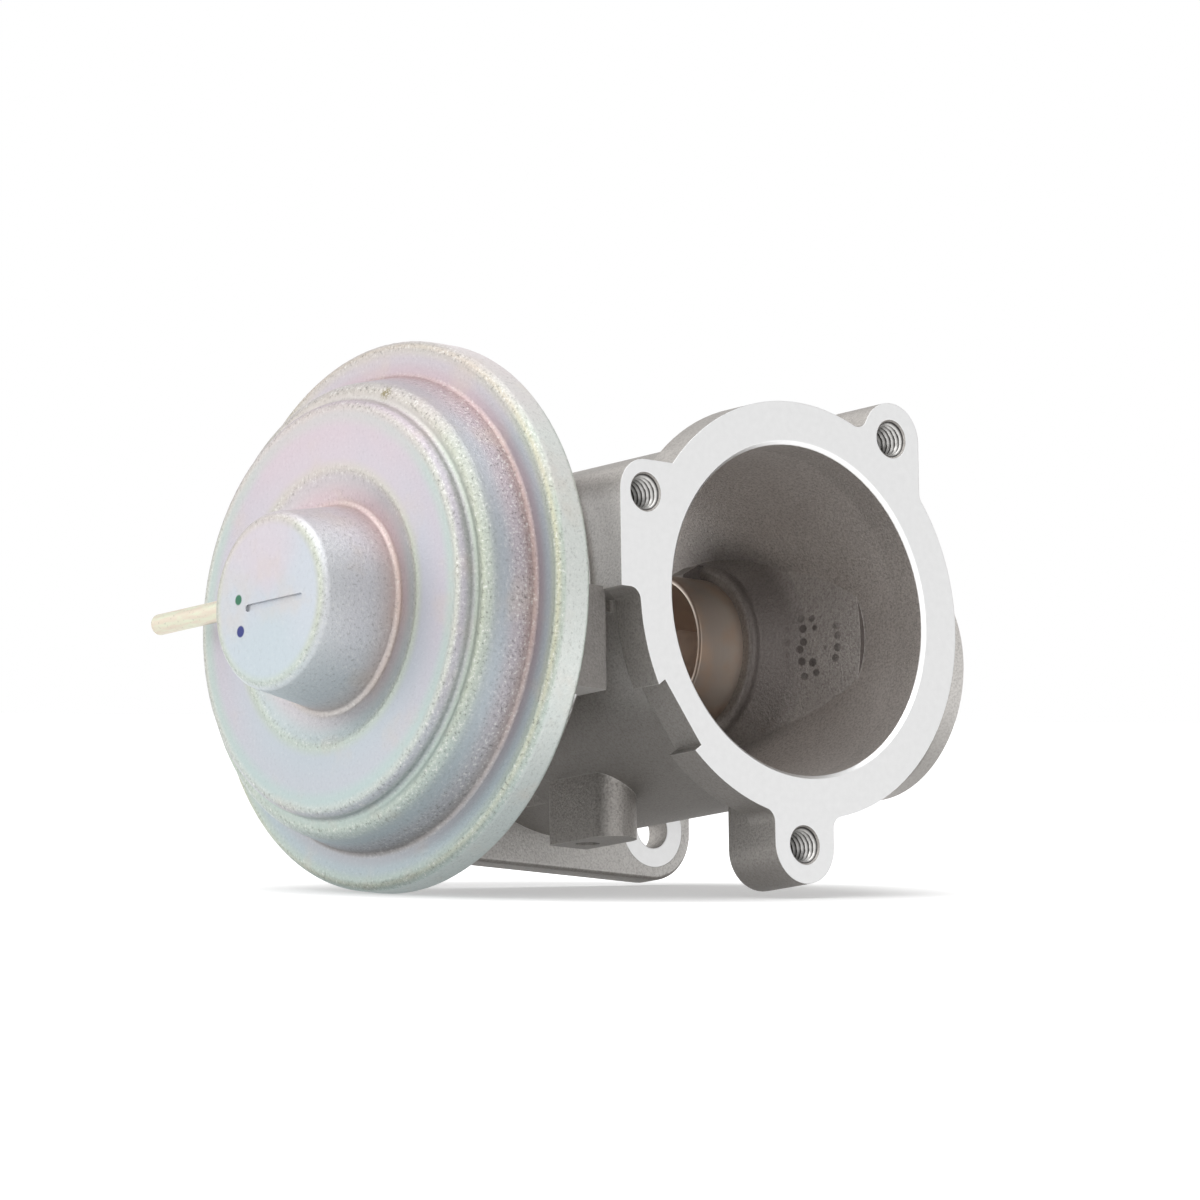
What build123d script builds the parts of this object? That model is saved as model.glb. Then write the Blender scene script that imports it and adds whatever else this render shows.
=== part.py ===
from build123d import *
import math
import os

# A vacuum-operated exhaust gas recirculation valve, built into a cast air duct. Sizes in millimetres.
# The origin is the centre of the machined inlet face. Air flows along +Y, and +Z is the casting's top.
# The valve axis crosses the duct: the vacuum can is at -X, and the exhaust gas branch is at +X.
# Outlines turned about the valve axis are lists of (x, radius).

# Air duct
duct_length = 66.0
duct_outer_r = 30.5
inlet_bore_r = 27.5
inlet_bore_depth = 6.0
mouth_chamfer = 0.6
outlet_bore_r = 24.0
outlet_bore_depth = 8.0

# Inlet flange, with a relief sawn into its lower left edge
inlet_flange_r = 34.7
inlet_flange_t = 6.3
flange_root_fillet = 1.7
flange_root_step = 0.1
outline_fillet = 2.2
relief_distance = 32.5
relief_width = 12.6
relief_angle = 217.0

# Threaded lugs of the inlet flange
thread_r = 3.0
thread_mouth_r = 3.3
upper_left_lug = dict(x=-33.3, z=15.9, corner_r=5.4, to_z=0.0, length=20.0, thread_depth=14.0)
upper_right_lug = dict(x=21.0, z=31.0, corner_r=6.1, to_z=12.0, length=13.0, thread_depth=13.0)
lower_lug = dict(x=0.0, z=-39.1, corner_r=6.4, to_z=-25.0, length=12.8, thread_depth=12.8)
lug_end_fillet = 2.0

# Rear flange: three clearance holes, each with a spot face for the bolt's head
rear_flange_t = 4.7
rear_flange_r = 31.6
rear_flange_rounding = 0.8
rear_lug_r = 8.8
rear_hole_r = 3.4
rear_holes = [(20.2, -27.2), (-20.2, -27.2), (-20.0, 26.0)]
spot_face_r = 6.6
spot_face_length = 12.0

# Square boss under the duct, with a blind drilled hole
boss_x = -13.9
boss_width = 8.0
boss_start_y = 28.0
boss_end_y = 43.4
boss_bottom_z = -35.5
boss_hole_y = 38.5
boss_hole_r = 2.1
boss_hole_depth = 5.0

# Valve axis and the travel of the valve
valve_y = 44.5
lift = 5.0
stop_clearance = 0.3

# Can flange of the casting and what joins it to the duct
can_seat_x = -44.6
can_flange_t = 5.8
can_flange_r = 37.5
can_flange_edge_r = 0.8
neck_r = 14.0
rib_t = 4.0
rib_tip_r = 34.0
rib_root_z = 21.0
rib_overlap = 1.0
neck_flare = 2.0
web_start_y = 12.0
ear_y = 4.6
ear_bottom_z = -16.5
ear_overlap = 0.5
ear_lap = 2.0
seal_pocket_r = 9.0
seal_pocket_depth = 5.0

# Exhaust gas branch, with a clamp-band flange
branch_r = 17.5
branch_face_x = 58.8
band_flange_r = 21.0
band_rim_t = 3.4
band_cone_t = 3.6
band_root_fillet = 1.0
band_edge_rounding = 0.5

# Steel sleeve in the branch, and the cast collar that holds it inside the duct
sleeve_r = 12.9
sleeve_wall = 1.0
sleeve_start_x = 5.9
sleeve_end_x = 56.4
sleeve_edge_rounding = 0.3
collar_x = 15.3
collar_lip_r = 15.2
collar_lip_t = 1.9
collar_lip_rounding = 1.2
collar_lip_fillet = 0.8
collar_root_r = 19.5
collar_flare = 2.0
collar_fillet = 6.0
tooth_width = 4.0
tooth_height = 2.4
tooth_reach = 3.6
tooth_tip_t = 0.4
wall_cover = 1.0

# Valve seat, disc and stem
seat_face_x = 35.9
seat_ring_t = 5.0
seat_bore_r = 8.0
seat_gap = 0.3
disc_r = 9.6
disc_rim_t = 1.6
disc_cone_t = 2.4
stem_r = 4.0
stem_end_r = 2.5
stem_thread_r = 3.0
rivet_head_r = 3.6
rivet_head_t = 1.2
rivet_rounding = 0.8
valve_edge_rounding = 0.3

# Stem guide, seal and deposit shield
guide_r = 6.0
guide_end_x = -15.5
guide_clearance = 0.04
guide_chamfer = 0.5
seal_t = 3.8
seal_clearance = 0.3
seal_web_t = 1.2
seal_groove_mouth = 0.8
seal_groove_floor = 0.5
seal_lip_flare = 1.0
retainer_bore_r = 5.5
shield_wall = 0.8
shield_rounding = 1.2
shield_clearance = 0.5
shield_base_x = -9.0
shield_depth = 8.5

# Vacuum can: two pressed shells, the front one crimped over the rear one
gasket_t = 0.8
shell_t = 1.2
rear_shell_hole_r = 6.5
rear_shell_step = 1.6
rear_shell_bend = 0.7
rear_shell_edge = 0.4
can_rim_r = 45.5
can_rim_rounding = 1.6
can_rim_width = 6.1
crimp_rounding = 1.3
crimp_width = 4.6
crimp_clearance = 2.4
wall_taper = 2.1
shoulder_height = 8.6
shoulder_width = 2.9
shoulder_rounding = 2.2
step_height = 2.9
face_rounding = 1.6
dish_outer_r = 22.9
dish_depth = 1.3
nose_root_r = 16.95
nose_tip_r = 14.5
nose_height = 12.4
nose_rounding = 1.6
press_fillet = 0.8
slot_length = 14.9
slot_width = 1.2
slot_depth = 0.5
slot_offset_y = -1.5
slot_offset_z = -0.6

# Vacuum nipple in the side of the nose
nipple_r = 1.75
nipple_bore_r = 1.0
nipple_root_r = 2.2
nipple_root_depth = 0.5
nipple_shoulder = 0.3
nipple_x = -70.6
nipple_z = 1.6
nipple_length = 19.4
nipple_rounding = 0.5

# Can screws
screw_count = 3
screw_circle_r = 26.0
screw_r = 2.5
screw_clearance = 0.3
screw_head_r = 4.8
screw_head_t = 1.8
screw_head_rounding = 0.6
screw_grip = 5.4
hex_socket_width = 3.0
hex_socket_depth = 1.1

# Diaphragm and the plates that clamp it
diaphragm_t = 1.0
bead_t = 2.9
bead_width = 4.8
bead_clearance = 0.1
bead_lap = 1.0
bead_rounding = 0.5
roll_gap = 1.4
roll_width = 5.3
roll_height = 3.2
roll_taper = 0.2
roll_rounding = 2.2
roll_fillet = 0.6
rear_plate_r = 19.5
front_plate_clearance = 3.0
plate_t = 1.2
plate_rounding = 2.0
plate_edge_rounding = 0.4
washer_r = 7.0
washer_t = 0.8
nut_width = 10.0
nut_t = 3.2
nut_chamfer = 0.8
stem_point = 1.2
diaphragm_gap = 2.6
diaphragm_hole_clearance = 0.3

# Return spring and its seat in the nose
spring_r = 11.5
spring_wire_r = 1.0
spring_turns = 5.0
spring_end_gap = 0.1
spring_seat_t = 1.0
spring_seat_clearance = 0.3
spring_seat_collar_length = 3.0
spring_seat_fillet = 0.4

# Radii about the valve axis that follow from the sizes above
groove_r = can_rim_r - can_rim_width
shoulder_r = groove_r - wall_taper
step_r = shoulder_r - shoulder_width
rear_shell_base_r = can_rim_r - crimp_width - crimp_clearance
bead_r = can_rim_r - shell_t - bead_clearance
bead_inner_r = bead_r - bead_width
front_plate_r = step_r - shell_t - front_plate_clearance
roll_inner_r = front_plate_r + roll_gap
roll_outer_r = roll_inner_r + roll_width

# Positions along the valve axis that follow from the sizes above
rear_shell_x = can_seat_x - gasket_t
rear_rim_x = rear_shell_x - rear_shell_step
bead_front_x = rear_rim_x - shell_t - bead_t
can_rim_x = bead_front_x - shell_t
crimp_x = rear_rim_x + shell_t
shoulder_x = can_rim_x - shoulder_height
face_x = shoulder_x - step_height
nose_root_x = face_x + dish_depth
nose_x = face_x - nose_height
diaphragm_x = rear_shell_x - shell_t - diaphragm_gap
stem_shoulder_x = diaphragm_x + plate_t
front_plate_x = diaphragm_x - diaphragm_t
washer_x = front_plate_x - plate_t
nut_x = washer_x - washer_t
stem_tip_x = nut_x - nut_t - stem_point
plate_rim_x = face_x + shell_t + lift + stop_clearance
seal_floor_x = can_seat_x + seal_pocket_depth
can_flange_back_x = can_seat_x + can_flange_t
sleeve_bore_r = sleeve_r - sleeve_wall
cone_gap = seat_gap * math.sqrt(2)
disc_cone_x = seat_face_x - cone_gap / 2
disc_back_x = disc_cone_x - disc_rim_t
disc_front_x = disc_cone_x + disc_cone_t
seat_mouth_r = disc_r + cone_gap / 2
seat_throat_x = seat_face_x + seat_mouth_r - seat_bore_r

valve_axis = Axis((0, valve_y, 0), (1, 0, 0))
duct_axis = Axis((0, 0, 0), (0, 1, 0))


def turned(*outline, radii=0):
    """Turns a closed outline of (x, radius) points about the valve axis; radii rounds its corners."""
    corners = [(x, valve_y + radius) for x, radius in outline]
    return revolve(make_face(FilletPolyline(*corners, radius=radii, close=True)), valve_axis)


def pressed(outline, radii, thickness):
    """Presses sheet metal or rubber along a path of (x, radius) points; its thickness is on the +X side."""
    path = FilletPolyline(*[(x, valve_y + radius) for x, radius in outline], radius=radii)
    return revolve(make_face(offset(path, thickness, side=Side.RIGHT, closed=True)), valve_axis)


def duct_turned(*outline, radii=0):
    """Turns a closed outline of (radius, y) points about the duct's axis."""
    return revolve(make_face(FilletPolyline(*outline, radius=radii, close=True)), duct_axis)


def rod_x(radius, start_x, end_x, y=valve_y, z=0.0):
    """A round bar along X."""
    return extrude(Plane((start_x, y, z), x_dir=(0, 1, 0), z_dir=(1, 0, 0)) * Circle(radius), end_x - start_x)


def rod_y(radius, start_y, end_y, x=0.0, z=0.0):
    """A round bar along Y."""
    return extrude(Plane((x, start_y, z), x_dir=(1, 0, 0), z_dir=(0, 1, 0)) * Circle(radius), end_y - start_y)


def plate_y(outline, start_y, end_y):
    """A plate across the duct, from an outline drawn in X and Z."""
    return extrude(Plane((0, start_y, 0), x_dir=(1, 0, 0), z_dir=(0, -1, 0)) * outline, start_y - end_y)


def block(x, y, z):
    """A box from three (low, high) pairs."""
    low_corner = (x[0], y[0], z[0])
    return Pos(*low_corner) * Box(x[1] - x[0], y[1] - y[0], z[1] - z[0], align=(Align.MIN,) * 3)


def span(a, b, c, d):
    """A rectangle from X = a to b and Z = c to d."""
    return Pos((a + b) / 2, (c + d) / 2) * Rectangle(abs(b - a), abs(d - c))


def lug_outline(x, z, corner_r, to_z):
    """A lug with a round end about its hole and straight sides that run to to_z."""
    return Pos(x, z) * Circle(corner_r) + span(x - corner_r, x + corner_r, z, to_z)


def lug_parts(lug):
    return lug_outline(lug["x"], lug["z"], lug["corner_r"], lug["to_z"])


def closed_in(outline, radius):
    """Rounds the inner corners of an outline."""
    return offset(offset(outline, radius), -radius)


threaded_lugs = [upper_left_lug, upper_right_lug, lower_lug]


def duct_body():
    """The outer form of the duct, with a fillet behind its inlet flange."""
    step_r = duct_outer_r + flange_root_fillet + flange_root_step
    return duct_turned((0, 0), (step_r, 0), (step_r, inlet_flange_t), (duct_outer_r, inlet_flange_t),
                       (duct_outer_r, duct_length), (0, duct_length),
                       radii=[0, 0, 0, flange_root_fillet, 0, 0])


def inlet_flange():
    """The flange plate: a ring and three lugs with rounded inner corners, less the sawn relief."""
    outline = Circle(inlet_flange_r)
    for lug in threaded_lugs:
        outline += lug_parts(lug)
    outline = closed_in(outline, outline_fillet)
    relief_depth = inlet_flange_r
    relief_centre = relief_distance + relief_depth / 2
    outline -= Rot(0, 0, relief_angle) * Pos(relief_centre, 0) * Rectangle(relief_depth, relief_width)
    return plate_y(outline, 0, inlet_flange_t)


def flange_lugs():
    """The lugs behind the flange; the upper left one is a block that also carries the can flange."""
    solids = []
    for lug in (upper_right_lug, lower_lug):
        solid = plate_y(lug_parts(lug), 0, lug["length"])
        back = solid.faces().sort_by(Axis.Y)[-1]
        solids.append(fillet(back.edges(), lug_end_fillet))
    left = upper_left_lug
    top_z = left["z"] + left["corner_r"]
    block_outline = lug_parts(left) + span(left["x"], -duct_outer_r / 2, left["to_z"], top_z)
    solids.append(plate_y(block_outline, 0, left["length"]))
    return solids


def rear_flange():
    """The rear mounting flange: a ring with three bolt lugs and a straight lower edge."""
    outline = Circle(rear_flange_r)
    for x, z in rear_holes:
        outline += lug_outline(x, z, rear_lug_r, 0.0)
    right, left = rear_holes[0], rear_holes[1]
    outline += span(left[0], right[0], right[1] - rear_lug_r, 0.0)
    plate = plate_y(closed_in(outline, outline_fillet), duct_length - rear_flange_t, duct_length)
    return fillet(plate.faces().sort_by(Axis.Y)[0].edges(), rear_flange_rounding)


def square_boss():
    """The boss under the duct: square at the back, half round at the front, drilled from below."""
    nose_y = boss_start_y + boss_width / 2
    top_z = -outlet_bore_r
    outline = Pos(boss_x, nose_y) * Circle(boss_width / 2)
    outline += span(boss_x - boss_width / 2, boss_x + boss_width / 2, nose_y, boss_end_y)
    solid = Pos(0, 0, boss_bottom_z) * extrude(outline, top_z - boss_bottom_z)
    hole = Pos(boss_x, boss_hole_y, boss_bottom_z) * Cylinder(
        boss_hole_r, boss_hole_depth, align=(Align.CENTER, Align.CENTER, Align.MIN))
    return solid, hole


def can_flange():
    """The round flange that the can bolts to, its neck, ribs and web, and the square ear at its front."""
    back = can_flange_back_x
    edge = can_flange_edge_r
    sunk_x = back - rib_overlap
    disc = turned((can_seat_x, 0), (can_seat_x, can_flange_r), (back, can_flange_r), (back, 0),
                  radii=[0, edge, edge, 0])
    neck = turned((sunk_x, 0), (sunk_x, neck_r), (-duct_outer_r, neck_r),
                  (-outlet_bore_r, neck_r + neck_flare), (-outlet_bore_r, 0))
    foot_x = back + rib_overlap
    rib_outline = Polyline((sunk_x, rib_tip_r), (foot_x, rib_tip_r), (-outlet_bore_r, rib_root_z),
                           (-outlet_bore_r, -rib_root_z), (foot_x, -rib_tip_r), (sunk_x, -rib_tip_r),
                           close=True)
    rib = plate_y(make_face(rib_outline), valve_y - rib_t / 2, valve_y + rib_t / 2)
    web = block((sunk_x, -outlet_bore_r), (web_start_y, duct_length), (-rib_t / 2, rib_t / 2))
    ear_back_y = valve_y - math.sqrt(can_flange_r ** 2 - ear_bottom_z ** 2) + ear_lap
    ear_top_z = upper_left_lug["to_z"] + ear_overlap
    ear = block((can_seat_x, back + ear_overlap), (ear_y, ear_back_y), (ear_bottom_z, ear_top_z))
    return disc + neck + rib + web + ear


def gas_branch():
    """The outside of the exhaust gas branch, with the cone that a clamp band pulls on."""
    rim_x = branch_face_x - band_rim_t
    return turned((outlet_bore_r, 0), (outlet_bore_r, branch_r), (rim_x - band_cone_t, branch_r),
                  (rim_x, band_flange_r), (branch_face_x, band_flange_r), (branch_face_x, 0),
                  radii=[0, 0, band_root_fillet, band_edge_rounding, band_edge_rounding, 0])


def sleeve_collar():
    """The cast collar round the sleeve inside the duct, with the bright tooth on its lip."""
    lip_end_x = collar_x + collar_lip_t
    collar = turned((collar_x, sleeve_r), (collar_x, collar_lip_r), (lip_end_x, collar_lip_r),
                    (outlet_bore_r - collar_flare, collar_root_r), (outlet_bore_r + collar_flare, duct_outer_r),
                    (duct_outer_r, duct_outer_r), (duct_outer_r, sleeve_r),
                    radii=[0, collar_lip_rounding, collar_lip_fillet, collar_fillet, 0, 0, 0])
    collar &= rod_y(duct_outer_r - wall_cover, 0, duct_length)
    top_r, sunk_r = sleeve_r + tooth_height, sleeve_r - tooth_tip_t
    root_x, tip_x = collar_x + collar_lip_t / 2, collar_x - tooth_reach
    tooth_outline = Polyline((root_x, sunk_r), (root_x, top_r), (collar_x, top_r),
                             (tip_x, sleeve_r + tooth_tip_t), (tip_x, sunk_r), close=True)
    tooth = plate_y(make_face(tooth_outline), valve_y - tooth_width / 2, valve_y + tooth_width / 2)
    return collar + tooth


def housing():
    """The casting: duct, flanges, branch and can flange, then everything that is machined in it."""
    boss, boss_hole = square_boss()
    solid = duct_body() + inlet_flange() + flange_lugs() + rear_flange()
    solid += boss + can_flange() + gas_branch()
    bore_end_y = duct_length - outlet_bore_depth
    bore = duct_turned((0, 0), (inlet_bore_r + mouth_chamfer, 0), (inlet_bore_r, mouth_chamfer),
                       (inlet_bore_r, inlet_bore_depth), (outlet_bore_r, bore_end_y),
                       (outlet_bore_r, duct_length), (0, duct_length))
    solid = solid - bore + sleeve_collar()
    solid -= rod_y(outlet_bore_r, bore_end_y, duct_length)
    solid -= rod_x(sleeve_r, 0, branch_face_x)
    solid -= rod_x(guide_r, can_seat_x, 0)
    solid -= rod_x(seal_pocket_r, can_seat_x, seal_floor_x)
    solid -= boss_hole
    for lug in threaded_lugs:
        solid -= rod_y(thread_r, 0, lug["thread_depth"], x=lug["x"], z=lug["z"])
        mouth = duct_turned((0, 0), (thread_mouth_r, 0), (thread_r, thread_mouth_r - thread_r),
                            (0, thread_mouth_r - thread_r))
        solid -= Pos(lug["x"], 0, lug["z"]) * mouth
    face_y = duct_length - rear_flange_t
    for x, z in rear_holes:
        solid -= rod_y(rear_hole_r, face_y, duct_length, x=x, z=z)
        solid -= rod_y(spot_face_r, face_y - spot_face_length, face_y, x=x, z=z)
    for hole in screw_places():
        solid -= hole * rod_x(screw_r, can_seat_x, can_flange_back_x, y=0)
    return solid


def screw_places():
    """The can screws' places: X unchanged, Y and Z on the screw circle."""
    places = []
    for index in range(screw_count):
        angle = math.radians(90 + 360 * index / screw_count)
        places.append(Pos(0, valve_y + screw_circle_r * math.cos(angle), screw_circle_r * math.sin(angle)))
    return places


def egr_sleeve():
    return turned((sleeve_start_x, sleeve_bore_r), (sleeve_start_x, sleeve_r), (sleeve_end_x, sleeve_r),
                  (sleeve_end_x, sleeve_bore_r), radii=[sleeve_edge_rounding, sleeve_edge_rounding, 0, 0])


def valve_seat():
    """The seat ring, pressed into the sleeve; its cone lies seat_gap from the disc's."""
    back_x = seat_face_x + seat_ring_t
    return turned((seat_face_x, sleeve_bore_r), (seat_face_x, seat_mouth_r), (seat_throat_x, seat_bore_r),
                  (back_x, seat_bore_r), (back_x, sleeve_bore_r))


def valve_disc():
    cone_end_r = disc_r - disc_cone_t
    return turned((disc_back_x, stem_end_r), (disc_back_x, disc_r), (disc_cone_x, disc_r),
                  (disc_front_x, cone_end_r), (disc_front_x, stem_end_r),
                  radii=[0, valve_edge_rounding, 0, valve_edge_rounding, 0])


def valve_stem():
    """The stem: a thread at the can end, a shoulder for the plates, and a riveted end in the disc."""
    head_x = disc_front_x
    return turned((stem_tip_x, 0), (stem_tip_x, stem_thread_r), (stem_shoulder_x, stem_thread_r),
                  (stem_shoulder_x, stem_r), (disc_back_x, stem_r), (disc_back_x, stem_end_r),
                  (head_x, stem_end_r), (head_x, rivet_head_r), (head_x + rivet_head_t, rivet_head_r),
                  (head_x + rivet_head_t, 0),
                  radii=[0, valve_edge_rounding, 0, valve_edge_rounding, 0, 0, 0, 0, rivet_rounding, 0])


def stem_guide():
    bore_r = stem_r + guide_clearance
    return turned((seal_floor_x, bore_r), (seal_floor_x, guide_r), (guide_end_x - guide_chamfer, guide_r),
                  (guide_end_x, guide_r - guide_chamfer), (guide_end_x, bore_r))


def stem_seal():
    """A lip seal: a ring with a groove in its outer face that lets the lip follow the stem."""
    front_x = seal_floor_x - seal_t
    groove_x = seal_floor_x - seal_web_t
    lip_r = stem_r + seal_clearance
    middle_r = (lip_r + seal_pocket_r) / 2
    return turned((seal_floor_x, lip_r + seal_lip_flare), (seal_floor_x, seal_pocket_r),
                  (front_x, seal_pocket_r), (front_x, middle_r + seal_groove_mouth),
                  (groove_x, middle_r + seal_groove_floor), (groove_x, middle_r - seal_groove_floor),
                  (front_x, middle_r - seal_groove_mouth), (front_x, lip_r))


def seal_retainer():
    back_x = seal_floor_x - seal_t
    return turned((can_seat_x, retainer_bore_r), (can_seat_x, seal_pocket_r), (back_x, seal_pocket_r),
                  (back_x, retainer_bore_r))


def stem_shield():
    """The cup on the stem that keeps soot out of the guide."""
    inner_r = guide_r + shield_clearance
    outer_r = inner_r + shield_wall
    open_x = shield_base_x - shield_depth
    floor_x = shield_base_x - shield_wall
    return turned((open_x, inner_r), (open_x, outer_r), (shield_base_x, outer_r), (shield_base_x, stem_r),
                  (floor_x, stem_r), (floor_x, inner_r),
                  radii=[0, 0, shield_rounding, 0, 0, shield_rounding - shield_wall])


def can_gasket():
    ring = turned((can_seat_x, rear_shell_hole_r), (can_seat_x, can_flange_r), (rear_shell_x, can_flange_r),
                  (rear_shell_x, rear_shell_hole_r))
    for hole in screw_places():
        ring -= hole * rod_x(screw_r + screw_clearance, rear_shell_x, can_seat_x, y=0)
    return ring


def rear_shell():
    """The rear half of the can: a flat base, a step, and the rim that the front shell is crimped over."""
    rim_r = can_rim_r - shell_t
    inner_r = rear_shell_base_r - shell_t
    base_x = rear_shell_x - shell_t
    rim_x = rear_rim_x - shell_t
    bend, edge = rear_shell_bend, rear_shell_edge
    shell = turned((rear_shell_x, rear_shell_hole_r), (rear_shell_x, rear_shell_base_r),
                   (rear_rim_x, rear_shell_base_r), (rear_rim_x, rim_r), (rim_x, rim_r), (rim_x, inner_r),
                   (base_x, inner_r), (base_x, rear_shell_hole_r),
                   radii=[0, bend, bend, edge, edge, bend, bend, 0])
    for hole in screw_places():
        shell -= hole * rod_x(screw_r + screw_clearance, base_x, rear_shell_x, y=0)
    return shell


def front_shell():
    """The front half of the can: nose, dished face, step, shoulder, rim and crimp, in one pressing."""
    outline = [(nose_x, 0), (nose_x, nose_tip_r), (nose_root_x, nose_root_r), (face_x, dish_outer_r),
               (face_x, step_r), (shoulder_x, step_r), (shoulder_x, shoulder_r), (can_rim_x, groove_r),
               (can_rim_x, can_rim_r), (crimp_x, can_rim_r), (crimp_x, can_rim_r - crimp_width)]
    radii = [nose_rounding, press_fillet, press_fillet + shell_t, face_rounding, press_fillet,
             shoulder_rounding, press_fillet, can_rim_rounding, crimp_rounding]
    shell = pressed(outline, radii, shell_t)
    shell -= rod_y(nipple_root_r, valve_y, valve_y + nose_root_r, x=nipple_x, z=nipple_z)
    slot_plane = Plane((nose_x, valve_y + slot_offset_y, slot_offset_z), x_dir=(0, 1, 0), z_dir=(1, 0, 0))
    return shell - extrude(slot_plane * SlotOverall(slot_length, slot_width), slot_depth)


def vacuum_nipple():
    """The nipple: a tube whose thicker root is brazed into the wall of the nose."""
    root_y = valve_y + nose_tip_r - shell_t - nipple_root_depth
    shoulder_y = valve_y + nose_root_r + nipple_shoulder
    end_y = shoulder_y + nipple_length
    tube = rod_y(nipple_r, root_y, end_y) + rod_y(nipple_root_r, root_y, shoulder_y)
    tip = tube.faces().sort_by(Axis.Y)[-1].edges()
    return Pos(nipple_x, 0, nipple_z) * (fillet(tip, nipple_rounding) - rod_y(nipple_bore_r, root_y, end_y))


def can_screws():
    """Low-head screws, put in from inside the rear shell."""
    head_back_x = rear_shell_x - shell_t
    head_x = head_back_x - screw_head_t
    screws = []
    for place in screw_places():
        head = rod_x(screw_head_r, head_x, head_back_x, y=0)
        head = fillet(head.faces().sort_by(Axis.X)[0].edges(), screw_head_rounding)
        shank = rod_x(screw_r, head_back_x, can_seat_x + screw_grip, y=0)
        socket_plane = Plane((head_x, 0, 0), x_dir=(0, 1, 0), z_dir=(1, 0, 0))
        socket = RegularPolygon(hex_socket_width / 2, 6, major_radius=False)
        screws.append(place * (head + shank - extrude(socket_plane * socket, hex_socket_depth)))
    return Compound(screws)


def diaphragm():
    """The rubber diaphragm: flat centre, one rolled convolution, and the bead clamped by the crimp."""
    top_x = front_plate_x - roll_height
    hole_r = stem_thread_r + diaphragm_hole_clearance
    outline = [(front_plate_x, hole_r), (front_plate_x, roll_inner_r), (top_x, roll_inner_r + roll_taper),
               (top_x, roll_outer_r - roll_taper), (front_plate_x, roll_outer_r),
               (front_plate_x, bead_inner_r + bead_lap)]
    sheet = pressed(outline, [roll_fillet, roll_rounding, roll_rounding, roll_fillet], diaphragm_t)
    bead_back_x = bead_front_x + bead_t
    bead = turned((bead_front_x, bead_inner_r), (bead_front_x, bead_r), (bead_back_x, bead_r),
                  (bead_back_x, bead_inner_r), radii=bead_rounding)
    return sheet + bead


def rear_plate():
    return turned((diaphragm_x, stem_thread_r), (diaphragm_x, rear_plate_r), (stem_shoulder_x, rear_plate_r),
                  (stem_shoulder_x, stem_thread_r), radii=[0, plate_edge_rounding, plate_edge_rounding, 0])


def front_plate():
    """The spring-side plate: a cup whose turned rim meets the can's face at full lift."""
    outline = [(plate_rim_x, front_plate_r), (front_plate_x, front_plate_r), (front_plate_x, stem_thread_r)]
    return pressed(outline, [plate_rounding], plate_t)


def nut_washer():
    return turned((nut_x, stem_thread_r), (nut_x, washer_r), (washer_x, washer_r), (washer_x, stem_thread_r))


def stem_nut():
    nut_plane = Plane((nut_x - nut_t, valve_y, 0), x_dir=(0, 1, 0), z_dir=(1, 0, 0))
    hexagon = extrude(nut_plane * RegularPolygon(nut_width / 2, 6, major_radius=False), nut_t)
    crown_r = nut_width / 2 + nut_chamfer
    crown = turned((nut_x - nut_t, 0), (nut_x - nut_t, nut_width / 2), (nut_x - nut_t + nut_chamfer, crown_r),
                   (nut_x, crown_r), (nut_x, 0))
    return (hexagon & crown) - rod_x(stem_thread_r, nut_x - nut_t, nut_x)


def return_spring():
    """The coil spring between the front plate and its seat in the nose, with closed ends left open."""
    start_x = nose_x + shell_t + spring_seat_t + spring_end_gap + spring_wire_r
    end_x = washer_x - spring_end_gap - spring_wire_r
    pitch = (end_x - start_x) / spring_turns
    path = Helix(pitch=pitch, height=end_x - start_x, radius=spring_r)
    section = Plane(origin=path @ 0, z_dir=path % 0) * Circle(spring_wire_r)
    coil = sweep(section, path=path, is_frenet=True)
    return Plane((start_x, valve_y, 0), x_dir=(0, 1, 0), z_dir=(1, 0, 0)) * coil


def spring_seat():
    """The cup in the nose: a flat for the spring, and a collar that centres it."""
    front_x = nose_x + shell_t
    flat_x = front_x + spring_seat_t
    collar_end_x = front_x + spring_seat_collar_length
    outer_r = nose_tip_r - shell_t - spring_seat_clearance
    collar_r = spring_r - spring_wire_r - spring_seat_clearance
    collar_inner_r = collar_r - spring_seat_t
    return turned((front_x, collar_inner_r), (front_x, outer_r), (flat_x, outer_r), (flat_x, collar_r),
                  (collar_end_x, collar_r), (collar_end_x, collar_inner_r),
                  radii=[0, 0, 0, spring_seat_fillet, spring_seat_fillet, 0])


nodes = [housing, egr_sleeve, valve_seat, valve_disc, valve_stem, stem_guide, stem_seal, seal_retainer,
         stem_shield, can_gasket, rear_shell, front_shell, vacuum_nipple, can_screws, diaphragm, rear_plate,
         front_plate, nut_washer, stem_nut, return_spring, spring_seat]

os.makedirs("parts", exist_ok=True)
for make_node in nodes:
    export_step(make_node(), f"parts/{make_node.__name__}.step")
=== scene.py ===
import math

import bmesh
import bpy
from mathutils import Matrix, Vector


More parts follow.
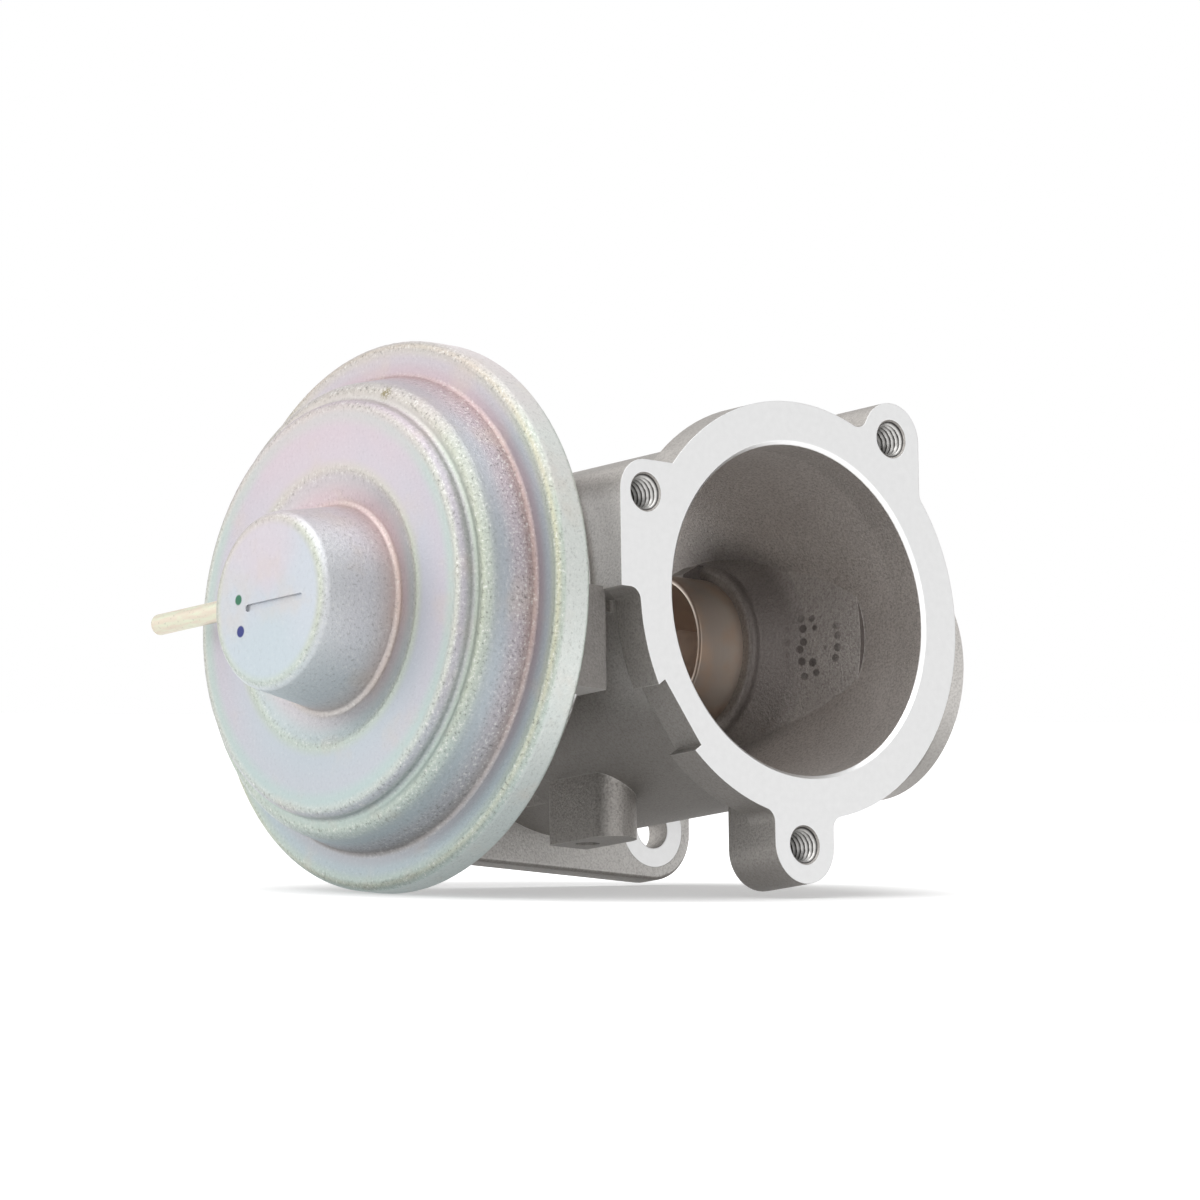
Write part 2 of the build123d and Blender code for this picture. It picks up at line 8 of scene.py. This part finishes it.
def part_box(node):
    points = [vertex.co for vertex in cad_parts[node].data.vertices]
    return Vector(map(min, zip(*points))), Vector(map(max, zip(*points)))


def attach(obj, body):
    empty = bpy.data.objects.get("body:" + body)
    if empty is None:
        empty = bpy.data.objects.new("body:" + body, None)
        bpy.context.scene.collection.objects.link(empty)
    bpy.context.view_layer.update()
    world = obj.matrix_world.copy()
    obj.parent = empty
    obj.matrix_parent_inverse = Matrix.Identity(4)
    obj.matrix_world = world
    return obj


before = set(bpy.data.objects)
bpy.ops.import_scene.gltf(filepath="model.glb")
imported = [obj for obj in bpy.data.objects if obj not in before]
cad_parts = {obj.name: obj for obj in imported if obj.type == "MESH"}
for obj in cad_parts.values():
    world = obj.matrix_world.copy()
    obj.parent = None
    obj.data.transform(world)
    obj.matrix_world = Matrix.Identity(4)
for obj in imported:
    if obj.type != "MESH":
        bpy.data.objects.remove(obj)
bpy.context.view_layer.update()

# Lengths are in metres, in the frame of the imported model: air flows along +Y, the valve axis is
# along X, and +Z is the top of the casting.
MM = 0.001

# Where the pieces are, from the frame
valve_y = sum(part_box("egr_sleeve"), Vector()).y / 2
nose_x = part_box("front_shell")[0].x
can_rim_r = (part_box("front_shell")[1].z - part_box("front_shell")[0].z) / 2
flange_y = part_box("housing")[0].y
branch_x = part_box("housing")[1].x
can_seat_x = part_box("housing")[0].x
sleeve_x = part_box("egr_sleeve")[0].x

# Sizes of the casting that its finish follows
duct_length = 66.0 * MM
outlet_y = flange_y + duct_length
inlet_bore_r = 27.5 * MM
mouth_chamfer = 0.6 * MM
can_flange_r = 37.5 * MM
can_flange_t = 5.8 * MM
rear_holes = [(20.2 * MM, -27.2 * MM), (-20.2 * MM, -27.2 * MM), (-20.0 * MM, 26.0 * MM)]
spot_face_r = 6.6 * MM
spot_face_y = outlet_y - 4.7 * MM

# The M6 threads: places and depths of the holes, and the form of the thread
threaded_holes = [(-33.3 * MM, 15.9 * MM, 13.9 * MM), (21.0 * MM, 31.0 * MM, 12.9 * MM),
                  (0.0, -39.1 * MM, 12.7 * MM)]
thread_r, thread_core_r, thread_pitch = 3.0 * MM, 2.5 * MM, 1.0 * MM
thread_mouth = 0.3 * MM
thread_gap = 0.01 * MM
thread_steepness = 1.9
thread_columns, rows_per_turn = 48, 12

# How far past a machined face or edge its bright finish fades out
face_fade = (0.01 * MM, 0.05 * MM)
spot_face_fade = (0.02 * MM, 0.08 * MM)
rim_fade = (0.03 * MM, 0.08 * MM)
edge_fade = 0.1 * MM

# Where the cast skin is paler or darker: the spans over which each zone begins or ends
bore_edge = (inlet_bore_r - 0.1 * MM, inlet_bore_r + 0.2 * MM)
relief_r = (30.8 * MM, 31.2 * MM)
relief_bottom, relief_top = (-20 * MM, -12 * MM), (8 * MM, 14 * MM)
relief_right, relief_back = (-20 * MM, -12 * MM), (12 * MM, 22 * MM)
block_right, block_back, block_top = (6 * MM, 8 * MM), (14 * MM, 18 * MM), (14 * MM, 18 * MM)
ear_right = (8 * MM, 10 * MM)
turned_rim = (-6 * MM, -3 * MM)
rear_flange_front = (50 * MM, 52 * MM)
soot_and_shade_r = (16 * MM, 24 * MM)

# How squarely a face has to point along an axis to belong to a zone, as spans of the cosine
squarely, mostly, partly, barely = (0.9, 0.97), (0.6, 0.95), (0.3, 0.8), (0.02, 0.75)
somewhat_down = (0.15, 0.8)

# The cluster of ejector dots on the wall of the duct
ejector_mark = (26.3 * MM, 23.8 * MM, -0.8 * MM)
ejector_span = (5 * MM, 8 * MM)
ejector_spacing = 2.0 * MM

# Marks on the can: place, and the span over which each fades
green_mark = (nose_x, valve_y + 7.8 * MM, 1.1 * MM, 0.7 * MM, 1.0 * MM)
blue_mark = (nose_x, valve_y + 7.3 * MM, -4.2 * MM, 0.8 * MM, 1.1 * MM)
chip = (nose_x + 15.3 * MM, valve_y - 11.8 * MM, 34.2 * MM, 0.5 * MM, 1.6 * MM)

# The zinc plate's film: radius about the valve axis in mm, and colour as a screen shows it. The
# bands are partly painted light: the darker line at 39.3 mm, in the groove, is painted shade, the
# nose wall at 14.6 to 15.9 mm is painted lighter as painted sheen, and the pale line at 45.5 mm, on
# the rim's outer edge, is a painted highlight.
film_and_light_bands = [
    (0.0, 205, 210, 218), (12.0, 207, 213, 221), (13.6, 206, 211, 198), (14.6, 222, 224, 228),
    (15.9, 220, 220, 226), (17.2, 214, 194, 186), (18.6, 210, 197, 201), (21.5, 196, 202, 203),
    (23.0, 204, 210, 196), (25.0, 204, 205, 214), (29.5, 206, 202, 211), (31.8, 196, 209, 205),
    (33.2, 212, 214, 205), (34.1, 190, 186, 194), (34.9, 200, 210, 198), (36.2, 203, 210, 193),
    (37.2, 192, 200, 190), (38.0, 190, 197, 205), (38.7, 202, 192, 199), (39.3, 188, 165, 160),
    (40.4, 186, 178, 186), (42.3, 186, 194, 200), (43.8, 194, 203, 190), (44.6, 210, 211, 186),
    (45.3, 192, 202, 192), (45.5, 222, 226, 222)]

# How grainy the plate is where the sheet was stretched: radius in mm, and 0 smooth to 1 grainy
grain_bands = [
    (0.0, 0.12), (12.6, 0.15), (13.8, 0.8), (14.6, 0.45), (17.0, 0.5), (20.5, 0.2), (22.8, 0.7),
    (24.0, 0.15), (32.0, 0.2), (33.4, 1.0), (34.4, 0.5), (35.4, 0.25), (36.3, 1.0), (37.2, 0.9),
    (37.9, 0.3), (38.8, 1.0), (39.6, 0.5), (40.6, 0.15), (43.4, 0.3), (44.4, 1.0), (45.3, 0.8),
    (45.6, 0.1)]
film_loss = 0.19
band_edge = (can_rim_r - 0.5 * MM, can_rim_r - 0.05 * MM)

# The camera, at its place in the frame
camera_place = Vector((-0.8675, -0.9610, -0.2276))
camera_right = Vector((0.7606, -0.6490, -0.0138))
camera_up = Vector((-0.1031, -0.1417, 0.9845))
camera_lens, camera_sensor, camera_reach = 240.0, 36.0, 10.0

# The floor leans a little in the frame, because the valve lies on three uneven points
floor_contacts = [Vector((-48.2, 51.0, -45.1)) * MM, Vector((20.7, 66.0, -36.4)) * MM,
                  Vector((1.2, 12.0, -46.1)) * MM]
floor_radius = 3.0
floor_tone, floor_glow = 0.6, 0.42
shadow_span = (0.04, 0.085)

# Lamps: name, direction from the valve, distance, level and size; a level is how bright a white
# surface that faces the lamp gets, and the levels add up so that a colour shows about as written
lamps = [("top_light", (-0.35, -0.2, 0.9), 0.9, 0.74, 1.2),
         ("left_light", (-0.8, 0.35, 0.4), 0.6, 0.34, 0.7),
         ("front_light", (-0.6, -0.8, 0.1), 1.1, 0.1, 0.8)]
room_level = 0.18

black, pure_white = (0.0, 0.0, 0.0), (1.0, 1.0, 1.0)


def tone(red, green, blue):
    """The linear colour that a shader takes, from a colour as a screen shows it, 0 to 255."""
    return tuple(((part / 255 + 0.055) / 1.055) ** 2.4 for part in (red, green, blue))


class Value:
    """What a node gives, with arithmetic."""

    def __init__(self, nodes, socket):
        self.nodes = nodes
        self.socket = socket

    def maths(self, operation, *others):
        return self.nodes.node("ShaderNodeMath", dict(operation=operation), [self, *others])

    def __add__(self, other):
        return self.maths("ADD", other)

    def __sub__(self, other):
        return self.maths("SUBTRACT", other)

    def __mul__(self, other):
        return self.maths("MULTIPLY", other)

    def __truediv__(self, other):
        return self.maths("DIVIDE", other)

    def __rsub__(self, other):
        return self.nodes.node("ShaderNodeMath", dict(operation="SUBTRACT"), [other, self])

    __radd__ = __add__
    __rmul__ = __mul__

    def __or__(self, other):
        return self.maths("MAXIMUM", other)

    def size(self):
        return self.maths("ABSOLUTE")

    def step(self, low, high):
        """Rises smoothly from 0 at low to 1 at high."""
        settings = dict(interpolation_type="SMOOTHSTEP")
        return self.nodes.node("ShaderNodeMapRange", settings, [self, low, high, 0.0, 1.0])

    def fall(self, low, high):
        """Falls smoothly from 1 at low to 0 at high."""
        return 1.0 - self.step(low, high)


def set_stops(ramp, stops):
    """Gives a ramp its stops, each a place from 0 to 1 and a colour or an amount."""
    ramp.interpolation = "EASE"
    while len(ramp.elements) < len(stops):
        ramp.elements.new(0.5)
    for point, (place, colour) in zip(ramp.elements, stops):
        point.position = place
        point.color = (*(colour if isinstance(colour, tuple) else (colour,) * 3), 1.0)


class Nodes:
    """A node tree, and the one way in which nodes are added to it."""

    def __init__(self, tree):
        self.tree = tree

    def node(self, kind, settings={}, inputs=(), output=0):
        """Adds a node of that kind, sets it up, then fills its inputs in order or by name."""
        added = self.tree.nodes.new(kind)
        for setting, value in settings.items():
            if setting == "stops":
                set_stops(added.color_ramp, value)
            else:
                setattr(added, setting, value)
        named = inputs.items() if isinstance(inputs, dict) else enumerate(inputs)
        for key, value in named:
            self.fill(added.inputs[key], value)
        return Value(self, added.outputs[output])

    def fill(self, socket, value):
        if isinstance(value, Value):
            self.tree.links.new(value.socket, socket)
        else:
            socket.default_value = value

    def seen(self):
        """1 for what the camera or a reflection shows, and 0 for the light that falls on things."""
        by_camera, in_reflection = (self.node("ShaderNodeLightPath", output=f"Is {ray} Ray")
                                    for ray in ("Camera", "Glossy"))
        return by_camera | in_reflection


class Shader(Nodes):
    """A material's nodes round one Principled shader."""

    def __init__(self, name, **constants):
        self.material = bpy.data.materials.new(name)
        self.material.use_nodes = True
        super().__init__(self.material.node_tree)
        self.surface = self.tree.nodes["Principled BSDF"]
        for socket, value in constants.items():
            self.surface.inputs[socket.replace("_", " ")].default_value = value
        self.place = self.node("ShaderNodeTexCoord", output="Object")
        self.x, self.y, self.z = self.split(self.place)

    def split(self, vector):
        """The three parts of a vector."""
        parts = self.node("ShaderNodeSeparateXYZ", inputs=[vector]).socket.node
        return [Value(self, parts.outputs[axis]) for axis in "XYZ"]

    def join(self, *parts):
        """A vector of three parts."""
        return self.node("ShaderNodeCombineXYZ", inputs=parts)

    def noise(self, size, detail=2.0, roughness=0.5, place=None):
        """Soft noise from 0 to 1 whose lumps are about that size."""
        inputs = dict(Vector=place or self.place, Scale=1.0 / size, Detail=detail,
                      Roughness=roughness)
        return self.node("ShaderNodeTexNoise", inputs=inputs)

    def mix(self, factor, first, second):
        """A colour that goes from first to second."""
        first, second = (colour if isinstance(colour, Value) else (*colour, 1.0)
                         for colour in (first, second))
        inputs = {0: factor, 6: first, 7: second}
        return self.node("ShaderNodeMix", dict(data_type="RGBA"), inputs, 2)

    def spots(self, size, spread=1.0):
        """The distance to the nearest of many scattered points: 0 at one, about 1 between them."""
        inputs = dict(Vector=self.place, Scale=1.0 / size, Randomness=spread)
        return self.node("ShaderNodeTexVoronoi", inputs=inputs)

    def distance(self, *offsets):
        """The distance to the place where all the offsets are 0."""
        total = 0.0
        for offset in offsets:
            total = offset * offset + total
        return total.maths("SQRT")

    def radius_about_valve(self):
        return self.distance(self.y - valve_y, self.z)

    def radius_about_duct(self):
        return self.distance(self.x, self.z)

    def near_point(self, x, y, z, inner, outer):
        """1 within inner of a point, falling to 0 at outer."""
        return self.distance(self.x - x, self.y - y, self.z - z).fall(inner, outer)

    def rounded_normal(self, radius):
        """The normal of the surface with its sharp edges broken."""
        return self.node("ShaderNodeBevel", dict(samples=4), dict(Radius=radius))

    def profile(self, stops):
        """A colour or amount that follows the radius about the valve axis, from pairs of a radius
        in millimetres and what it is there."""
        widest = stops[-1][0]
        settings = dict(stops=[(radius / widest, colour) for radius, colour in stops])
        along = self.radius_about_valve() / (widest * MM)
        return self.node("ShaderNodeValToRGB", settings, [along])

    def edges(self, radius):
        """1 on sharp edges and 0 on flat surfaces."""
        rounded = self.rounded_normal(radius)
        plain = self.node("ShaderNodeNewGeometry", output="Normal")
        match = self.node("ShaderNodeVectorMath", dict(operation="DOT_PRODUCT"), [rounded, plain],
                          "Value")
        return (1.0 - match).step(0.02, 0.25)

    def finish(self, colour, roughness=None, metallic=None, grain=None, grain_height=0.0,
               normal=None):
        """Joins what varies to the surface, and gives the finished material."""
        self.fill(self.surface.inputs["Base Color"], colour)
        if roughness is not None:
            self.fill(self.surface.inputs["Roughness"], roughness)
        if metallic is not None:
            self.fill(self.surface.inputs["Metallic"], metallic)
        if grain is not None:
            inputs = dict(Height=grain, Distance=grain_height)
            if normal is not None:
                inputs["Normal"] = normal
            self.fill(self.surface.inputs["Normal"], self.node("ShaderNodeBump", inputs=inputs))
        return self.material


def cast_aluminium():
    """Die-cast skin, matte and grainy, with the faces that were machined bright after casting."""
    cast = Shader("cast_aluminium")
    around = cast.radius_about_duct()
    inside = around.fall(*bore_edge)
    outside = 1.0 - inside
    _, along, up = cast.split(cast.node("ShaderNodeTexCoord", output="Normal"))
    facing_inlet = along * -1.0
    from_can_seat = cast.x - can_seat_x

    # The skin, its speckle and its worn edges
    skin = cast.mix(cast.noise(9 * MM, 3.0), tone(176, 172, 168), tone(196, 192, 188))
    # Painted light: the bore's wall is painted paler than the outer skin, where it lies in shade.
    wall = cast.mix(cast.noise(12 * MM, 3.0), tone(196, 190, 186), tone(218, 213, 209))
    skin = cast.mix(inside, skin, wall)
    speckle = cast.noise(0.4 * MM, 4.0, 0.7).step(0.38, 0.7)
    skin = cast.mix(speckle * 0.5, skin, tone(112, 107, 103))
    skin = cast.mix(cast.edges(0.35 * MM) * outside * 0.7, skin, tone(222, 220, 216))
    dots = cast.near_point(*ejector_mark, *ejector_span) * cast.spots(ejector_spacing, 0.5).fall(
        0.28, 0.42)
    skin = cast.mix(dots * inside * 0.75, skin, tone(62, 58, 56))

    # Painted light and shade: the relief, the block and the rear flange's front are painted paler
    # where they lie in shade, and the turned rim is a little paler; faces that point up or down are
    # painted darker, as painted shade.
    relief = (around.fall(*relief_r) * outside * cast.z.step(*relief_bottom)
              * cast.z.fall(*relief_top) * cast.y.fall(*relief_back) * cast.x.fall(*relief_right))
    block = (from_can_seat.fall(*block_right) * cast.y.fall(*block_back)
             * facing_inlet.fall(*partly) * cast.z.fall(*block_top))
    rim = (cast.x - branch_x).step(*turned_rim)
    rear_flange = facing_inlet.step(*squarely) * cast.y.step(*rear_flange_front)
    pale = (relief | block | rear_flange | rim * 0.5) * (1.0 - speckle * 0.4)
    skin = cast.mix(pale * 0.85, skin, tone(236, 234, 231))
    shaded = (up.step(*mostly) | (up * -1.0).step(*somewhat_down)) * outside
    skin = cast.mix(shaded * 0.55, skin, tone(122, 118, 114))
    # Painted shade: the ear's front face by the can seat is painted darker.
    ear = facing_inlet.step(*squarely) * from_can_seat.fall(*ear_right)
    skin = cast.mix(ear * 0.65, skin, tone(104, 100, 97))
    # Painted shade in the bore on faces that point towards the inlet, and soot with painted shade
    # near the valve.
    soot_and_shade = facing_inlet.step(*barely) | (0.6 - cast.radius_about_valve().step(*soot_and_shade_r) * 0.6)
    skin = cast.mix(soot_and_shade * inside * 0.85, skin, tone(84, 77, 74))

    # The faces that were machined bright
    on_inlet = (cast.y - flange_y).fall(*face_fade)
    on_outlet = (cast.y - outlet_y).size().fall(*face_fade)
    on_branch = (branch_x - cast.x).fall(*face_fade)
    on_can_seat = from_can_seat.fall(*face_fade)
    on_can_flange = (cast.radius_about_valve() - can_flange_r).size().fall(*rim_fade) * (
        from_can_seat.fall(can_flange_t, can_flange_t + edge_fade))
    mouth_r = inlet_bore_r + mouth_chamfer
    on_mouth = (cast.y - flange_y).fall(mouth_chamfer, mouth_chamfer + edge_fade) * (
        around.fall(mouth_r, mouth_r + edge_fade))
    bright = on_inlet | on_outlet | on_branch | on_can_seat | on_can_flange | on_mouth
    for x, z in rear_holes:
        near_hole = cast.distance(cast.x - x, cast.z - z).fall(spot_face_r, spot_face_r + edge_fade)
        bright = bright | near_hole * (cast.y - spot_face_y).size().fall(*spot_face_fade)
    machined = cast.mix(cast.noise(1.2 * MM, 3.0), tone(228, 228, 228), tone(238, 238, 238))
    dirt = cast.noise(2.2 * MM, 4.0, 0.7).step(0.7, 0.76)
    machined = cast.mix(dirt * 0.3, machined, tone(150, 146, 142))

    grain = cast.noise(0.45 * MM, 5.0, 0.65) * (1.0 - bright * 0.95)
    return cast.finish(cast.mix(bright, skin, machined), 0.54 - bright * 0.26, 0.82 + bright * 0.08,
                       grain, 0.14 * MM, cast.rounded_normal(0.25 * MM))


def plated_steel():
    """Zinc plate whose clear film turns lilac, mint, pink or yellow with its thickness, with
    painted sheen, painted floor light, painted shade and painted glints in its colour.
    """
    plate = Shader("plated_steel")
    rise = plate.z / (plate.radius_about_valve() + 1 * MM)
    cloud = plate.noise(15 * MM, 2.0)
    film_and_light = plate.profile([(radius, tone(*colour)) for radius, *colour in film_and_light_bands])
    # Partly the film's own tint and partly painted light: mint towards the bottom, as painted light
    # from the floor, and lighter pink towards the top, as painted sheen.
    colour = plate.mix((0.3 - rise - cloud * 0.8).step(0.0, 0.9) * 0.35, film_and_light, tone(190, 213, 217))
    colour = plate.mix((rise + cloud).step(0.7, 1.5) * 0.45, colour, tone(226, 202, 208))
    colour = plate.mix(plate.noise(9 * MM, 3.0).step(0.55, 0.75) * 0.3, colour, tone(218, 204, 190))
    rough_zone = plate.profile(grain_bands)
    grain = plate.noise(0.55 * MM, 4.0, 0.75)
    colour = plate.mix(grain.step(0.54, 0.66) * rough_zone * 0.7, colour, tone(112, 112, 106))
    # Painted highlight: near-white glints in the grainy zones.
    glints = (1.0 - grain).step(0.54, 0.66) * rough_zone
    colour = plate.mix(glints * 0.8, colour, tone(250, 250, 246))
    colour = plate.mix(plate.near_point(*green_mark), colour, tone(60, 120, 92))
    colour = plate.mix(plate.near_point(*blue_mark), colour, tone(58, 66, 130))
    colour = plate.mix(plate.near_point(*chip) * grain.step(0.4, 0.55), colour, tone(150, 140, 100))
    on_band = plate.radius_about_valve().step(*band_edge)
    colour = plate.mix(film_loss - on_band * film_loss, colour, black)
    bump = grain * (rough_zone + 0.25)
    return plate.finish(colour, 0.4 - rough_zone * 0.06, 0.6, bump, 0.14 * MM)


def plated_tube():
    """The nipple's plate: yellow-green, streaked along the tube by the drawing die."""
    tube = Shader("plated_tube", Metallic=0.6)
    streak = tube.noise(5 * MM, 4.0, place=tube.join(tube.x * 6.0, tube.y, tube.z * 6.0))
    colour = tube.mix(streak.step(0.35, 0.6), tone(214, 216, 194), tone(214, 203, 186))
    colour = tube.mix(tube.noise(0.5 * MM, 3.0).step(0.62, 0.7) * 0.4, colour, tone(140, 138, 126))
    return tube.finish(colour, 0.34 + streak * 0.14, grain=streak, grain_height=0.03 * MM)


def heated_steel():
    """Stainless steel that exhaust gas has tinted brown, with its inner wall painted near-white as
    painted light.
    """
    steel = Shader("heated_steel", Metallic=0.75)
    # Darker at the sleeve's end in the duct and lighter 16 mm further in.
    deep = (steel.x - sleeve_x).step(0.0, 16 * MM)
    colour = steel.mix(deep, tone(148, 138, 130), tone(200, 190, 180))
    colour = steel.mix(steel.noise(6 * MM, 3.0).step(0.4, 0.7) * 0.4, colour, tone(178, 146, 120))
    # Painted light: the sleeve's inner wall is painted near-white, where it lies in shade.
    within_sleeve = steel.radius_about_valve().fall(12.2 * MM, 12.6 * MM)
    colour = steel.mix(within_sleeve, colour, tone(250, 238, 228))
    turning = steel.join(steel.x * 12.0, steel.radius_about_valve(), 0.0)
    lines = steel.noise(2 * MM, 2.0, place=turning)
    return steel.finish(colour, 0.34 + lines * 0.12, grain=lines, grain_height=0.02 * MM)


def dull(name, colour, other, size, roughness, bump=0.02 * MM):
    """A plain finish with a slight mottle."""
    plain = Shader(name)
    mottle = plain.noise(size, 4.0)
    return plain.finish(plain.mix(mottle, colour, other), roughness + mottle * 0.1, grain=mottle,
                        grain_height=bump)


def give(material, *nodes):
    """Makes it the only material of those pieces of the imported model."""
    for name in nodes:
        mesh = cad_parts[name].data
        mesh.materials.clear()
        mesh.materials.append(material)


def cut_thread():
    """Bright crests, and roots painted dark as painted shade in the thread's grooves."""
    cut = Shader("cut_thread", Metallic=0.5, Roughness=0.3)
    from_axis, *others = [cut.distance(cut.x - x, cut.z - z) for x, z, depth in threaded_holes]
    for other in others:
        from_axis = from_axis.maths("MINIMUM", other)
    # Painted shade: the thread's roots are painted dark.
    root = from_axis.step(thread_core_r + 0.12 * MM, thread_r - 0.08 * MM)
    crest = cut.mix(cut.noise(0.6 * MM, 3.0), tone(214, 212, 209), tone(238, 237, 235))
    return cut.finish(cut.mix(root, crest, tone(58, 55, 53)))


def threads():
    """The screw threads in the three lugs: a tube in each hole, whose inner wall is the thread."""
    turned = cut_thread()
    columns = range(thread_columns)
    for number, (x, z, depth) in enumerate(threaded_holes):
        mesh = bmesh.new()
        rows = []
        row_count = round((depth - thread_mouth) / thread_pitch * rows_per_turn)
        for row in range(row_count + 1):
            along = row * thread_pitch / rows_per_turn
            inner, outer = [], []
            for column in columns:
                turn = column / thread_columns
                phase = (along / thread_pitch - turn) % 1.0
                from_root = (thread_r - thread_core_r) * thread_steepness * abs(phase - 0.5)
                lead_in = thread_r - along
                thread_wall = max(thread_core_r + from_root, lead_in) - thread_gap
                angle = turn * 2 * math.pi
                for ring, radius in ((inner, thread_wall), (outer, thread_r)):
                    ring.append(mesh.verts.new((x + radius * math.cos(angle),
                                                flange_y + thread_mouth + along,
                                                z + radius * math.sin(angle))))
            rows.append((inner, outer))
        for (inner, outer), (next_inner, next_outer) in zip(rows, rows[1:]):
            for column in columns:
                after = (column + 1) % thread_columns
                mesh.faces.new((inner[column], next_inner[column], next_inner[after], inner[after]))
                mesh.faces.new((outer[column], outer[after], next_outer[after], next_outer[column]))
        for (inner, outer), flipped in ((rows[0], False), (rows[-1], True)):
            for column in columns:
                after = (column + 1) % thread_columns
                face = (inner[column], inner[after], outer[after], outer[column])
                mesh.faces.new(face[::-1] if flipped else face)
        bmesh.ops.recalc_face_normals(mesh, faces=mesh.faces)
        data = bpy.data.meshes.new(f"lug_thread_{number + 1}")
        mesh.to_mesh(data)
        mesh.free()
        data.materials.append(turned)
        piece = bpy.data.objects.new(data.name, data)
        bpy.context.scene.collection.objects.link(piece)
        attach(piece, "valve_body")


give(cast_aluminium(), "housing")
give(plated_tube(), "vacuum_nipple")
give(plated_steel(), "front_shell", "rear_shell", "can_screws", "front_plate", "rear_plate",
     "nut_washer", "stem_nut", "seal_retainer", "spring_seat")
give(heated_steel(), "egr_sleeve", "valve_seat", "valve_disc", "valve_stem", "stem_shield")
give(dull("spring_steel", tone(90, 90, 92), tone(110, 110, 112), 2 * MM, 0.4), "return_spring")
give(dull("sintered_bronze", tone(160, 134, 96), tone(182, 154, 112), 0.5 * MM, 0.6), "stem_guide")
give(dull("seal_rubber", tone(38, 38, 38), tone(52, 52, 52), 1 * MM, 0.7), "stem_seal", "diaphragm")
give(dull("gasket_fibre", tone(96, 94, 92), tone(120, 118, 116), 1 * MM, 0.8), "can_gasket")
threads()


def stand(axis):
    """The turn that points +Z along that axis."""
    return axis.to_track_quat("Z", "Y").to_matrix().to_4x4()


def camera():
    """The photo's view of the valve."""
    data = bpy.data.cameras.new("camera")
    data.lens, data.sensor_width, data.clip_end = camera_lens, camera_sensor, camera_reach
    shot = bpy.data.objects.new("camera", data)
    back = camera_right.cross(camera_up)
    axes = Matrix((camera_right, camera_up, back)).transposed()
    shot.matrix_world = Matrix.Translation(camera_place) @ axes.to_4x4()
    bpy.context.scene.collection.objects.link(shot)
    bpy.context.scene.camera = shot


def floor():
    """The plain floor: it takes the valve's shadow, looks white to the camera and in reflections,
    and isn't there for a camera under it."""
    first, second, third = floor_contacts
    normal = (second - first).cross(third - first).normalized()
    if normal.z < 0:
        normal = -normal
    centre = sum(floor_contacts, Vector()) / 3
    bpy.ops.mesh.primitive_circle_add(vertices=96, radius=floor_radius, fill_type="NGON")
    plane = bpy.context.object
    plane.name = "floor"
    plane.matrix_world = Matrix.Translation(centre) @ stand(normal)
    white = Shader("floor_white", Roughness=1.0, Emission_Strength=1.0)
    away = white.distance(white.x, white.y).step(*shadow_span)
    glow = white.mix(white.seen(), black, white.mix(away, (floor_glow,) * 3, pure_white))
    from_below = white.node("ShaderNodeNewGeometry", output="Backfacing")
    white.fill(white.surface.inputs["Alpha"], 1.0 - from_below)
    white.fill(white.surface.inputs["Emission Color"], glow)
    plane.data.materials.append(white.finish((floor_tone,) * 3 + (1.0,)))


def lamp(name, direction, distance, level, size):
    """A soft round lamp that points at the valve."""
    data = bpy.data.lights.new(name, "AREA")
    data.shape, data.size, data.energy = "DISK", size, level * (math.pi * distance) ** 2
    light = bpy.data.objects.new(name, data)
    aim = Vector(direction).normalized()
    place = Vector((0, valve_y, 0)) + aim * distance
    light.matrix_world = Matrix.Translation(place) @ stand(aim)
    bpy.context.scene.collection.objects.link(light)


def studio():
    """The lamps, and a dim room that looks white to the camera and in reflections."""
    for settings in lamps:
        lamp(*settings)
    world = bpy.data.worlds.new("studio")
    world.use_nodes = True
    bpy.context.scene.world = world
    sky = Nodes(world.node_tree)
    background, output = (sky.tree.nodes[name] for name in ("Background", "World Output"))
    sky.fill(background.inputs["Color"], (room_level,) * 3 + (1.0,))
    room = Value(sky, background.outputs[0])
    white = sky.node("ShaderNodeBackground", inputs=[(*pure_white, 1.0)])
    sky.fill(output.inputs[0], sky.node("ShaderNodeMixShader", inputs=[sky.seen(), room, white]))
    bpy.context.scene.view_settings.view_transform = "Standard"


camera()
floor()
studio()
